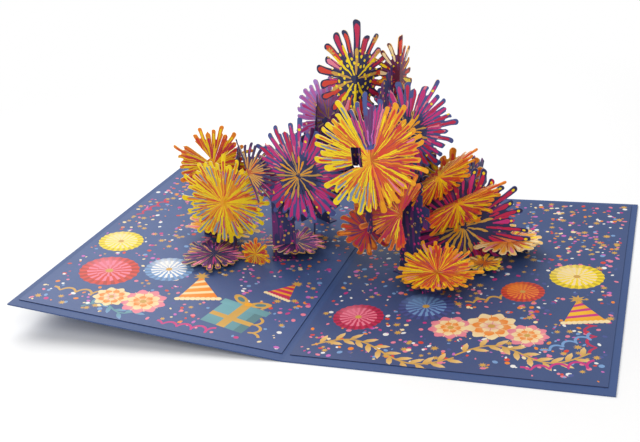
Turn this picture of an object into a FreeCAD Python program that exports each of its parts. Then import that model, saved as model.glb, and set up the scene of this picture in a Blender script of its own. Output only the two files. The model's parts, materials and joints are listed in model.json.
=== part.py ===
import FreeCAD, Part
import math
import os
from FreeCAD import Vector

# Pop-up card opened on a table: a folded cover with a printed insert glued on each
# page, and a firework of laser-cut paper bursts held up by slotted ribs.
# Frame: origin on the table under the middle of the spine, +X to the right page,
# +Y along the spine to the back of the card, +Z up. Millimetres and degrees.

# Cover and inserts
PAGE_WIDTH = 127.0
PAGE_HEIGHT = 178.0
LEFT_PAGE_LIFT = 6.4
COVER_CARD = 0.6
INSERT_CARD = 0.4
BORDER_SIDE = 3.0
BORDER_FRONT = 4.5
BORDER_BACK = 3.0
GUTTER = 1.8

# Pop-up sheets, their slots and their glued feet
SHEET = 0.4
SLOT_GAP = 0.1
FREE_EDGE_GAP = 0.3
FOOT_LENGTH = 12.0
FOOT_WIDTH = 5.0
LOW_RISER_LENGTH = 9.0

# Shape of a cut ray
RAY_SPREAD = 0.22
RAY_FILL = 0.36
RIB_CORE = 0.72
RIB_RAYS = 16
GOLDEN = (math.sqrt(5.0) - 1.0) / 2.0

# Two tented folds that bridge the spine and lift the pop-up as the card opens
FRONT_FOLD_CREASE_Y = 12.0
FRONT_FOLD_REACH = (36.0, -7.0)
BACK_FOLD_CREASE_Y = 27.0
BACK_FOLD_REACH = (36.0, 46.0)

# Sheets that meet at less than this angle are left without slots
STEEPEST_SLOT = 12.0

# Which sheet gives way where two cross: the greater number. Equal ones, and those
# between, slot half into each other. Ribs end at the back of a front burst.
FRONT, WHOLE, SLOTTED, TRIMMED, RISER = -1, 0, 1, 2, 3

# Heights of the bursts that lie over a page on risers
LOW_HEIGHT = {"violet_left": 2.6, "violet_centre": 6.0, "peach_left": 9.5,
              "peach_right": 7.5, "gold_right": 4.0, "yellow_right": 6.7}

# A plate whose slope is less than this lies level with the page
LEVEL = 0.05

# A length that is longer than any sheet
BEYOND = 2.0 * PAGE_HEIGHT


class Page:
    """One opened page: local x from the spine, local y along it, h above the insert."""

    def __init__(self, lift):
        self.turn = FreeCAD.Rotation(Vector(0, 1, 0), lift)
        self.face = COVER_CARD + INSERT_CARD

    def point(self, x, y, h):
        return self.turn.multVec(Vector(x, y, h + self.face))

    def direction(self, vector):
        return self.turn.multVec(vector)


LEFT = Page(LEFT_PAGE_LIFT)
RIGHT = Page(0.0)


class Plate:
    """A flat piece of sheet: a face in its own U, V plane, placed in the card."""

    def __init__(self, origin, u, v, face):
        self.origin, self.u, self.v, self.n = origin, u, v, u.cross(v)
        self.face = face
        self.slots = []

    def flat(self, point):
        offset = point - self.origin
        return offset.dot(self.u), offset.dot(self.v)

    def corners(self):
        return [(c.X, c.Y) for c in self.face.OuterWire.OrderedVertexes]

    def span(self, point, direction):
        """Lowest and highest distance along a line at which it is on the face."""
        px, py = self.flat(point)
        dx, dy = direction.dot(self.u), direction.dot(self.v)
        corners = self.corners()
        hits = []
        for (ax, ay), (bx, by) in zip(corners, corners[1:] + corners[:1]):
            side_a = (ax - px) * dy - (ay - py) * dx
            side_b = (bx - px) * dy - (by - py) * dx
            if (side_a > 0) != (side_b > 0):
                share = side_a / (side_a - side_b)
                x, y = ax + share * (bx - ax), ay + share * (by - ay)
                hits.append((x - px) * dx + (y - py) * dy)
        return (min(hits), max(hits)) if hits else None

    def slot(self, point, direction, start, end, width, clear=None):
        """Marks a straight slot along a line, and all on its side clear if given."""
        px, py = self.flat(point)
        dx, dy = direction.dot(self.u), direction.dot(self.v)
        near, far = -width / 2.0, width / 2.0
        if clear is not None:
            start, end = -BEYOND, BEYOND
            if (self.v * dx - self.u * dy).dot(clear) > 0:
                far = BEYOND
            else:
                near = -BEYOND
        outline = [(start, near), (end, near), (end, far), (start, far)]
        self.slots.append(flat_face([(px + t * dx - s * dy, py + t * dy + s * dx)
                                     for t, s in outline]))

    def keep_above(self, page, gap):
        """Marks what lies below a height above a page as cut away."""
        normal = page.direction(Vector(0, 0, 1))
        base = page.point(0, 0, gap)
        down = Vector(-normal.dot(self.u), -normal.dot(self.v), 0)
        if down.Length < LEVEL:
            return
        height = (self.origin - base).dot(normal) / down.Length
        down.normalize()
        along = Vector(-down.y, down.x, 0) * BEYOND
        edge = down * height
        far = down * (height + BEYOND)
        points = [edge - along, edge + along, far + along, far - along]
        self.slots.append(flat_face([(p.x, p.y) for p in points]))

    def solid(self):
        face = self.face
        if self.slots:
            face = face.cut(self.slots)
            face = max(face.Faces, key=lambda part: part.Area)
        body = face.extrude(Vector(0, 0, SHEET))
        body.translate(Vector(0, 0, -SHEET / 2.0))
        matrix = FreeCAD.Matrix(self.u.x, self.v.x, self.n.x, self.origin.x,
                                self.u.y, self.v.y, self.n.y, self.origin.y,
                                self.u.z, self.v.z, self.n.z, self.origin.z, 0, 0, 0, 1)
        return body.transformGeometry(matrix)


class Sheet:
    """A cut sheet of one or two plates, with the feet that glue it to a page."""

    def __init__(self, name, plates, rank=SLOTTED):
        self.name, self.plates, self.rank = name, plates, rank
        self.feet = []

    def solid(self):
        body = self.plates[0].solid()
        for extra in [plate.solid() for plate in self.plates[1:]] + self.feet:
            body = body.fuse(extra)
        body = body.removeSplitter()
        return max(body.Solids, key=lambda part: part.Volume)


def flat_face(points):
    loop = [Vector(x, y, 0) for x, y in points]
    return Part.Face(Part.makePolygon(loop + loop[:1]))


def star_outline(radius, rays, core, blunt=False, centre=(0.0, 0.0), phase=0.0):
    """Corners of a burst: a solid core edged by separate rays of uneven length."""
    pitch = 2 * math.pi / rays
    half = RAY_FILL * pitch * core * radius
    points = []
    for index in range(rays):
        angle = index * pitch
        reach = radius * (1 - RAY_SPREAD * ((index * GOLDEN + phase) % 1.0))
        ray = [(reach, -half), (reach, half)]
        if not blunt:
            ray = [(reach - 0.8 * half, -half), (reach, 0.0), (reach - 0.8 * half, half)]
        valley = angle - pitch / 2
        points.append((core * radius * math.sin(valley), core * radius * math.cos(valley)))
        for along, across in ray:
            points.append((along * math.sin(angle) + across * math.cos(angle),
                           along * math.cos(angle) - across * math.sin(angle)))
    return [(x + centre[0], y + centre[1]) for x, y in points]


def clip_side(points, side):
    """The part of an outline with side * x >= 0, closed along the line x = 0."""
    kept = []
    for (ax, ay), (bx, by) in zip(points, points[1:] + points[:1]):
        if side * ax >= 0:
            kept.append((ax, ay))
        if (ax > 0) != (bx > 0) and ax != 0 and bx != 0:
            share = ax / (ax - bx)
            kept.append((0.0, ay + share * (by - ay)))
    return kept


def burst(name, page, place, radius, facing=0.0, lean=0.0, roll=0.0, fold=0.0, rays=24,
          core=0.74, blunt=False, rank=SLOTTED, straight_edge=None, opening=None):
    """A burst, flat or folded on its middle line.

    place is its centre on the page. It faces the front of the card, turned to the
    right by facing, tipped back by lean, with its middle line rolled clockwise by
    roll and each half bent back by fold. opening is a rectangle cut out of it, as its
    lowest and highest distance across and along the middle line.
    """
    turn, tip, spin, bend = [math.radians(a) for a in (facing, lean, roll, fold)]
    normal = Vector(math.sin(turn) * math.cos(tip), -math.cos(turn) * math.cos(tip),
                    math.sin(tip))
    right = Vector(math.cos(turn), math.sin(turn), 0)
    up = normal.cross(right)
    crease = up * math.cos(spin) + right * math.sin(spin)
    across = right * math.cos(spin) - up * math.sin(spin)
    normal, crease, across = [page.direction(v) for v in (normal, crease, across)]
    centre = page.point(*place)
    outline = star_outline(radius, rays, core, blunt)
    if fold == 0.0:
        plate = Plate(centre, across, crease, flat_face(outline))
        if straight_edge is not None:
            plate.slot(centre - crease * (straight_edge + radius), across, -radius, radius,
                       2 * radius)
        return Sheet(name, [plate], rank)
    plates = []
    if opening is not None:
        left, right_end, bottom, top = opening
        hole = [(left, bottom), (right_end, bottom), (right_end, top), (left, top)]
    for side in (1, -1):
        away = across * math.cos(bend) - normal * side * math.sin(bend)
        plates.append(Plate(centre, away, crease, flat_face(clip_side(outline, side))))
        if opening is not None:
            plates[-1].slots.append(flat_face(hole))
    return Sheet(name, plates, rank)


def ribbed_outline(stars, posts):
    """Union of burst outlines and of the posts that stand on the page."""
    parts = [flat_face(star_outline(radius, RIB_RAYS, RIB_CORE, True, (along, height), along))
             for along, height, radius in stars]
    parts += [flat_face([(start, 0), (start, height), (end, height), (end, 0)])
              for start, end, height in posts]
    blocks = [part.extrude(Vector(0, 0, 1)) for part in parts]
    whole = blocks[0].multiFuse(blocks[1:]).removeSplitter()
    level = [face for face in whole.Faces if face.BoundBox.ZMax < 0.5]
    return Part.Face(max(level, key=lambda face: face.Area).OuterWire)


def foot(page, start, end, flap_side):
    """A flap folded onto the page beside the line from start to end."""
    ahead = Vector(end[0] - start[0], end[1] - start[1], 0).normalize()
    beside = Vector(-ahead.y, ahead.x, 0) * flap_side
    near = [Vector(x, y, 0) - beside * SHEET / 2 for x, y in (start, end)]
    loop = [near[0], near[1], near[1] + beside * FOOT_WIDTH, near[0] + beside * FOOT_WIDTH]
    loop = [page.point(p.x, p.y, 0) for p in loop]
    face = Part.Face(Part.makePolygon(loop + loop[:1]))
    return face.extrude(page.direction(Vector(0, 0, SHEET)))


def rib(name, page, start, toward, stars, post, flap_side):
    """A sheet that stands on one page on a line, cut as a row of bursts."""
    ahead = Vector(toward[0], toward[1], 0).normalize()
    plate = Plate(page.point(start[0], start[1], 0), page.direction(ahead),
                  page.direction(Vector(0, 0, 1)), ribbed_outline(stars, [post]))
    plate.keep_above(page, 0.0)
    sheet = Sheet(name, [plate])
    ends = [(start[0] + ahead.x * t, start[1] + ahead.y * t) for t in post[:2]]
    sheet.feet.append(foot(page, ends[0], ends[1], flap_side))
    return sheet


def cross_fold(name, crease_y, reach, stars, post):
    """A sheet folded over the spine, with one leg glued to each page."""
    half_lift = math.radians(LEFT_PAGE_LIFT / 2)
    crease = Vector(math.sin(half_lift), 0, math.cos(half_lift))
    base = Vector(0, crease_y, COVER_CARD + INSERT_CARD)
    plates, feet = [], []
    for side, page in ((-1, LEFT), (1, RIGHT)):
        outer = page.point(side * reach[0], reach[1], 0)
        level = outer - base
        level = (level - crease * level.dot(crease)).normalize()
        face = ribbed_outline(stars, [post])
        corners = clip_side([(c.X, c.Y) for c in face.OuterWire.OrderedVertexes], 1)
        plate = Plate(base, level, crease, flat_face(corners))
        plate.keep_above(page, 0.0)
        plates.append(plate)
        length = math.hypot(reach[0], reach[1] - crease_y)
        ends = [(side * reach[0] * t / length, crease_y + (reach[1] - crease_y) * t / length)
                for t in post[:2]]
        feet.append(foot(page, ends[0], ends[1], side * (1 if reach[1] > crease_y else -1)))
    sheet = Sheet(name, plates)
    sheet.feet = feet
    return sheet


def riser(name, page, place, height, turn):
    """A Z-folded strip between a page and a burst that lies over it."""
    ahead = Vector(math.cos(math.radians(turn)), math.sin(math.radians(turn)), 0)
    half = LOW_RISER_LENGTH / 2
    height -= SHEET / 2
    outline = flat_face([(-half, 0), (half, 0), (half, height), (-half, height)])
    plate = Plate(page.point(place[0], place[1], 0), page.direction(ahead),
                  page.direction(Vector(0, 0, 1)), outline)
    sheet = Sheet(name, [plate], rank=RISER)
    ends = [(place[0] + ahead.x * t, place[1] + ahead.y * t) for t in (-half, half)]
    sheet.feet = [foot(page, ends[0], ends[1], 1)]
    top = foot(page, ends[0], ends[1], -1)
    top.translate(page.direction(Vector(0, 0, height - SHEET)))
    sheet.feet.append(top)
    return sheet


def crossing(first, second):
    """Slots two plates of different sheets into each other where they cross."""
    line = first[1].n.cross(second[1].n)
    sine = line.Length
    if sine < math.sin(math.radians(STEEPEST_SLOT)):
        return
    line.normalize()
    a, b = first[1], second[1]
    within = a.n.cross(line)
    point = a.origin + within * ((b.origin - a.origin).dot(b.n) / within.dot(b.n))
    spans = a.span(point, line), b.span(point, line)
    if None in spans:
        return
    low, high = max(spans[0][0], spans[1][0]), min(spans[0][1], spans[1][1])
    if high - low < SHEET:
        return
    cosine = abs(a.n.dot(b.n))
    width = SHEET * (1 + cosine) / sine + 2 * SLOT_GAP
    ranks = first[0].rank, second[0].rank
    if ranks[0] != ranks[1] and (FRONT in ranks or WHOLE in ranks) or RISER in ranks:
        yielding, whole = (b, a) if ranks[0] < ranks[1] else (a, b)
        ends_there = FRONT in ranks and (first[0].feet or second[0].feet)
        yielding.slot(point, line, low - SHEET, high + SHEET, width,
                      whole.n if ends_there else None)
        return
    middle = (low + high) / 2
    a_is_upper = abs(spans[0][1] - high) <= abs(spans[1][1] - high)
    upper, lower = (a, b) if a_is_upper else (b, a)
    upper.slot(point, line, middle - SLOT_GAP, high + SHEET, width)
    lower.slot(point, line, low - SHEET, middle + SLOT_GAP, width)


def make_cover():
    """The folded card: two pages that meet at the spine crease."""
    fold = COVER_CARD * math.tan(math.radians(LEFT_PAGE_LIFT) / 2)
    end = LEFT.direction(Vector(-PAGE_WIDTH, 0, 0))
    top = LEFT.direction(Vector(-PAGE_WIDTH, 0, COVER_CARD))
    section = [Vector(PAGE_WIDTH, 0, 0), Vector(0, 0, 0), end, top,
               Vector(fold, 0, COVER_CARD), Vector(PAGE_WIDTH, 0, COVER_CARD)]
    for corner in section:
        corner.y = -PAGE_HEIGHT / 2
    face = Part.Face(Part.makePolygon(section + section[:1]))
    return face.extrude(Vector(0, PAGE_HEIGHT, 0))


def make_insert(page, side):
    """A printed sheet glued on a page inside the cover's border."""
    near, far = side * GUTTER, side * (PAGE_WIDTH - BORDER_SIDE)
    front, back = -PAGE_HEIGHT / 2 + BORDER_FRONT, PAGE_HEIGHT / 2 - BORDER_BACK
    loop = [page.point(x, y, -INSERT_CARD)
            for x, y in ((near, front), (far, front), (far, back), (near, back))]
    face = Part.Face(Part.makePolygon(loop + loop[:1]))
    return face.extrude(page.direction(Vector(0, 0, INSERT_CARD)))


def left_bursts():
    return [
        burst("yellow_burst_left", LEFT, (-57.5, -14, 27.7), 24.5, facing=12, fold=18,
              rays=28, rank=FRONT),
        burst("orange_burst_left", LEFT, (-74, 11, 35), 22.5, facing=10, lean=-5, roll=-40,
              fold=8, opening=(-1.1, 1.1, 3.5, 23.0)),
        burst("violet_fan_burst", LEFT, (-45.3, -14, 44.4), 17, facing=-20, lean=10, roll=-35,
              fold=55, core=0.55, blunt=True, rays=20, rank=TRIMMED),
        burst("magenta_burst_left", LEFT, (-22.5, -9, 44.5), 28, fold=8, rank=FRONT),
        burst("lilac_burst_top", LEFT, (-17, 16, 64), 21.5, facing=-5, fold=8),
        burst("crimson_burst_crown", LEFT, (0.5, -1, 90.5), 26, facing=22, fold=43,
              rays=20, core=0.6),
        burst("violet_burst_low_left", LEFT, (-61, -19, LOW_HEIGHT["violet_left"]), 17.5,
              lean=90, rays=22, blunt=True, rank=TRIMMED),
        burst("orange_burst_small", LEFT, (-40.5, -17, 5.5), 8.5, rays=16, blunt=True),
        burst("violet_burst_low_centre", LEFT, (-27, 1, LOW_HEIGHT["violet_centre"]), 17,
              lean=90, rays=20, blunt=True, rank=TRIMMED),
        burst("peach_burst_low_left", LEFT, (-64, -3, LOW_HEIGHT["peach_left"]), 21,
              lean=90, rays=22, blunt=True, rank=TRIMMED, straight_edge=7.0),
        burst("magenta_burst_back_left", LEFT, (-34, 35, 30), 23, facing=160, fold=15,
              rays=20, blunt=True),
    ]


def right_bursts():
    return [
        burst("yellow_burst_centre", RIGHT, (22, -24, 61), 30, facing=15, roll=-2, fold=25,
              rays=28, rank=FRONT, opening=(-9.0, -4.0, -3.5, 5.5)),
        burst("crimson_burst_behind_crown", RIGHT, (27, 11, 88), 18, facing=35, roll=6,
              fold=50, rays=16, core=0.55),
        burst("magenta_burst_top_right", RIGHT, (30, 8, 63), 27, facing=30, roll=36,
              fold=10),
        burst("orange_burst_upper_right", RIGHT, (46, -3, 46.5), 21, facing=8, lean=30,
              roll=53, fold=70, rays=22),
        burst("orange_burst_lower_right", RIGHT, (53.5, -1, 33.5), 23.5, facing=7, lean=36,
              roll=64, fold=70, rays=22),
        burst("magenta_burst_right", RIGHT, (53, 14, 16), 34, facing=12, core=0.66, rays=26,
              rank=WHOLE),
        burst("yellow_burst_low_right", RIGHT, (47, -17, LOW_HEIGHT["yellow_right"]), 20.5,
              facing=10, lean=77, roll=90, fold=-13),
        burst("orange_burst_centre_right", RIGHT, (31, -15, 33), 22, facing=20, roll=6,
              fold=20, opening=(1.0, 11.0, -5.5, 1.5)),
        burst("peach_burst_low_right", RIGHT, (72, 20, LOW_HEIGHT["peach_right"]), 18,
              lean=90, rays=20, blunt=True, rank=TRIMMED),
        burst("gold_burst_low_right", RIGHT, (64, 1, LOW_HEIGHT["gold_right"]), 10,
              lean=90, rays=14, blunt=True, rank=TRIMMED),
        burst("russet_burst_centre", RIGHT, (13, -7, 21), 15, facing=20, fold=15, rays=18,
              blunt=True),
        burst("yellow_burst_back_centre", RIGHT, (16, 43, 44), 25, facing=185, fold=20,
              rays=20, blunt=True),
        burst("orange_burst_back_right", RIGHT, (44, 35, 26), 21, facing=200, fold=15,
              rays=20, blunt=True),
    ]


def supports():
    return [
        rib("rib_left_wing", LEFT, (-52, -18), (-0.28, 0.96),
            [(10, 18, 17), (27, 30, 17)], (6, 6 + FOOT_LENGTH, 18), 1),
        rib("rib_left_centre", LEFT, (-14, -14), (-0.28, 0.96),
            [(13, 38, 19), (29, 58, 18), (34, 36, 17), (48, 30, 16)],
            (28, 28 + FOOT_LENGTH, 30), 1),
        rib("rib_right_centre", RIGHT, (16, -26), (0.2, 0.98),
            [(12, 60, 17), (20, 38, 19), (36, 70, 20), (38, 79, 13), (58, 46, 20),
             (40, 46, 18)], (42, 42 + FOOT_LENGTH, 40), -1),
        rib("rib_right_wing", RIGHT, (49, 9), (0.2, 0.98),
            [(14, 24, 19), (26, 26, 17)], (12, 12 + FOOT_LENGTH, 20), -1),
        cross_fold("cross_fold_front", FRONT_FOLD_CREASE_Y, FRONT_FOLD_REACH,
                   [(5, 60, 13), (18, 48, 17), (30, 34, 18)], (29, 29 + FOOT_LENGTH, 30)),
        cross_fold("cross_fold_back", BACK_FOLD_CREASE_Y, BACK_FOLD_REACH,
                   [(6, 52, 17), (20, 40, 18), (30, 24, 17)], (25, 25 + FOOT_LENGTH, 24)),
        riser("riser_low_left", LEFT, (-61, -21), LOW_HEIGHT["violet_left"], 0),
        riser("riser_low_centre", LEFT, (-27, 6), LOW_HEIGHT["violet_centre"], 0),
        riser("riser_peach_left", LEFT, (-72, 4), LOW_HEIGHT["peach_left"], 0),
        riser("riser_peach_right", RIGHT, (76, 24), LOW_HEIGHT["peach_right"], 0),
        riser("riser_gold_right", RIGHT, (64, 1), LOW_HEIGHT["gold_right"], 0),
        riser("riser_yellow_right", RIGHT, (46, -24), LOW_HEIGHT["yellow_right"], 10),
    ]


def make_popup():
    """All cut sheets, slotted into one another and trimmed above the pages."""
    sheets = supports() + left_bursts() + right_bursts()
    for index, first in enumerate(sheets):
        for second in sheets[index + 1:]:
            for plate in first.plates:
                for other in second.plates:
                    crossing((first, plate), (second, other))
    for sheet in sheets:
        if not sheet.feet:
            for plate in sheet.plates:
                plate.keep_above(LEFT, FREE_EDGE_GAP)
                plate.keep_above(RIGHT, FREE_EDGE_GAP)
    return sheets


def main():
    os.makedirs("parts", exist_ok=True)
    parts = {"cover": make_cover(), "insert_left": make_insert(LEFT, -1),
             "insert_right": make_insert(RIGHT, 1)}
    for sheet in make_popup():
        parts[sheet.name] = sheet.solid()
    for name, shape in parts.items():
        shape.exportStep("parts/" + name + ".step")


main()
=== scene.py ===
import json
import logging
import math
from dataclasses import dataclass, field, replace
from enum import Enum
from typing import Callable, Sequence

import bmesh
import bpy
import numpy as np
from mathutils import Matrix, Vector
from mathutils.geometry import delaunay_2d_cdt


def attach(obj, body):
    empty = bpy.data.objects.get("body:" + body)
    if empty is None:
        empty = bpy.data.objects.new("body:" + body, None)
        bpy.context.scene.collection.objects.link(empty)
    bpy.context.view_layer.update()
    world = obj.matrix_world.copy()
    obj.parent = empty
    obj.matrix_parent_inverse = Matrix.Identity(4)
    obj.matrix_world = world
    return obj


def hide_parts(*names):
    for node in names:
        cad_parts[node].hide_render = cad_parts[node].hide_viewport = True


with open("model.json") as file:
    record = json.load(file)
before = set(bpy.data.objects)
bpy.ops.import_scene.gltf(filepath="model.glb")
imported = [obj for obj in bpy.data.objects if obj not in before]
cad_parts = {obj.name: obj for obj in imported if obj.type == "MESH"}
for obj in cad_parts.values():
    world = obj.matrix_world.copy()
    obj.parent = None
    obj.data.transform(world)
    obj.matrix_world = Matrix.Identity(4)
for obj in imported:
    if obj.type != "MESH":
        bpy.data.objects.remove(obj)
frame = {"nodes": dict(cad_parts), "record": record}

LOG = logging.getLogger("card")
MM = 0.001

# Card, in millimetres and degrees: the same sizes as the solids that it dresses
LEFT_PAGE_LIFT = 6.4
PAGE_WIDTH = 127.0
PAGE_HEIGHT = 178.0
COVER_CARD = 0.6
INSERT_CARD = 0.4
BORDER_SIDE = 3.0
BORDER_FRONT = 4.5
BORDER_BACK = 3.0
GUTTER = 1.8
SHEET = 0.4
FREE_EDGE_GAP = 0.3

# Shape of a cut ray, in shares: its reach by the golden ratio, and the width it fills
RAY_SPREAD = 0.22
RAY_FILL = 0.36
GOLDEN = (math.sqrt(5.0) - 1.0) / 2.0

# Draws for a ray: how much shorter it is, its valley, width and lean, and its curl
RAY_SHORTER = 0.14
VALLEY_DRAW = (0.74, 1.02)
WIDTH_DRAW = (0.68, 1.1)
LEAN_DRAW = (-0.22, 0.22)
CURL_DRAW = (-1.0, 0.8)

# Share of the solid's reach that a ray keeps to, so that it stays in the solid's box
KEPT_REACH = 0.994

# Where a ray stands free, as a share of the core, and how much it swells to its tip
FREE_START = 1.03
TIP_SWELL = 0.18

# Area below which a printed shape is left out, in square millimetres
LEAST_PRINT = 0.004

# Half width of a cut ray as a share of the burst's radius, for its print
FINGER_HALF = 0.06

# Dark line round a stroke: its width as a share of the radius, and how strongly it shows
STROKE_LINE = 0.005
LINE_STRENGTH = 0.42

# Share of the radius where the leaves printed over a burst begin
LEAF_START = 0.16

# Fibres of the paper: noise cells to a metre, and height in metres
FIBRES = 900.0
FIBRE_HEIGHT = 0.00006

# Floor: half width, and the distances over which it fades to white, in metres
FLOOR_REACH = 6.0
FLOOR_FADE = (0.22, 0.42)

# Strength of the white surroundings as light
SKY_LIGHT = 0.55

# Camera of the photograph: place in millimetres, angles in degrees, focal length in pixels
CAMERA_PLACE = (139.5, -398.2, 201.8)
CAMERA_YAW = 20.878
CAMERA_PITCH = 22.886
CAMERA_ROLL = -5.289
CAMERA_FOCAL = 985.4
IMAGE_WIDTH = 640.0
SENSOR_WIDTH = 36.0

Color = tuple[float, float, float]


def srgb(red: int, green: int, blue: int) -> Color:
    """Linear colour of an 8-bit display colour: the display curve undone per channel.

    Args:
        red: red, 0 to 255.
        green: green, 0 to 255.
        blue: blue, 0 to 255.

    Returns:
        The linear colour.
    """
    def linear(value: int) -> float:
        """One channel, by the two-part display curve."""
        share = value / 255.0
        return share / 12.92 if share <= 0.04045 else ((share + 0.055) / 1.055) ** 2.4

    return linear(red), linear(green), linear(blue)


class Ink(Enum):
    """Printing inks and papers of the card, and a lighter slate that paints sheen on the left page.
    """

    NAVY = srgb(38, 42, 86)
    SLATE = srgb(56, 78, 126)
    INDIGO = srgb(72, 86, 150)
    COVER_BLUE = srgb(52, 78, 128)
    YELLOW = srgb(255, 222, 10)
    AMBER = srgb(246, 168, 20)
    ORANGE = srgb(247, 138, 30)
    RUST = srgb(196, 92, 20)
    RED = srgb(222, 62, 40)
    CRIMSON = srgb(198, 28, 78)
    MAGENTA = srgb(206, 44, 128)
    PINK = srgb(238, 128, 150)
    LILAC = srgb(204, 104, 186)
    VIOLET = srgb(104, 44, 110)
    GOLD = srgb(214, 164, 72)
    CREAM = srgb(252, 226, 170)
    SKY = srgb(120, 160, 208)
    STEEL = srgb(128, 150, 176)
    TEAL = srgb(96, 150, 158)
    WHITE = srgb(244, 242, 236)
    BURNT = srgb(232, 118, 30)
    PEACH = srgb(250, 196, 110)
    STRAW = srgb(240, 196, 60)
    PALE_GOLD = srgb(246, 206, 140)
    PAPER_CORE = srgb(240, 214, 166)
    PALE_LILAC = srgb(184, 136, 214)
    HEATHER = srgb(162, 104, 180)
    LAVENDER = srgb(176, 156, 222)
    WINE = srgb(96, 30, 60)
    DARK_WINE = srgb(96, 24, 50)
    PLUM = srgb(74, 44, 92)
    DARK_PLUM = srgb(52, 40, 84)
    # Slate lightened to paint the sheen of light on the tilted left page
    LIT_SLATE = srgb(64, 89, 141)
    DUSK = srgb(54, 62, 98)


class Wire:
    """A socket that takes part in Python arithmetic: each operator adds a Math node."""

    def __init__(self, shader: "Shader", socket: bpy.types.NodeSocket) -> None:
        """Wraps a socket of a shader's node tree."""
        self.shader = shader
        self.socket = socket

    def _math(self, operation: str, *values: "Wire | float") -> "Wire":
        """One Math node of this operation on the values."""
        return self.shader.node("ShaderNodeMath", {"operation": operation}, *values)

    def __add__(self, other: "Wire | float") -> "Wire":
        """Sum."""
        return self._math("ADD", self, other)

    __radd__ = __add__

    def __sub__(self, other: "Wire | float") -> "Wire":
        """Difference."""
        return self._math("SUBTRACT", self, other)

    def __rsub__(self, other: "Wire | float") -> "Wire":
        """Difference from a number."""
        return self._math("SUBTRACT", other, self)

    def __mul__(self, other: "Wire | float") -> "Wire":
        """Product."""
        return self._math("MULTIPLY", self, other)

    __rmul__ = __mul__

    def __truediv__(self, other: "Wire | float") -> "Wire":
        """Quotient."""
        return self._math("DIVIDE", self, other)

    def __gt__(self, other: "Wire | float") -> "Wire":
        """One where this is greater."""
        return self._math("GREATER_THAN", self, other)

    def __lt__(self, other: "Wire | float") -> "Wire":
        """One where this is less."""
        return self._math("LESS_THAN", self, other)

    def absolute(self) -> "Wire":
        """Size without sign."""
        return self._math("ABSOLUTE", self)

    def floor(self) -> "Wire":
        """Whole part."""
        return self._math("FLOOR", self)

    def fract(self) -> "Wire":
        """Part after the point."""
        return self._math("FRACT", self)

    def root(self) -> "Wire":
        """Square root."""
        return self._math("SQRT", self)

    def least(self, other: "Wire | float") -> "Wire":
        """The smaller of two."""
        return self._math("MINIMUM", self, other)

    def wrap(self, high: float) -> "Wire":
        """Brought into 0 to high by whole turns."""
        return self._math("WRAP", self, high, 0.0)

    def angle(self, other: "Wire") -> "Wire":
        """Angle of this over the other, in radians."""
        return self._math("ARCTAN2", self, other)

    def cosine(self) -> "Wire":
        """Cosine."""
        return self._math("COSINE", self)

    def step(self, low: float, high: float) -> "Wire":
        """Smooth rise from 0 at low to 1 at high, or a fall where low is the greater."""
        settings = {"interpolation_type": "SMOOTHSTEP"}
        if low < high:
            return self.shader.node("ShaderNodeMapRange", settings, self, low, high, 0.0, 1.0)
        return self.shader.node("ShaderNodeMapRange", settings, self, high, low, 1.0, 0.0)


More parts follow.
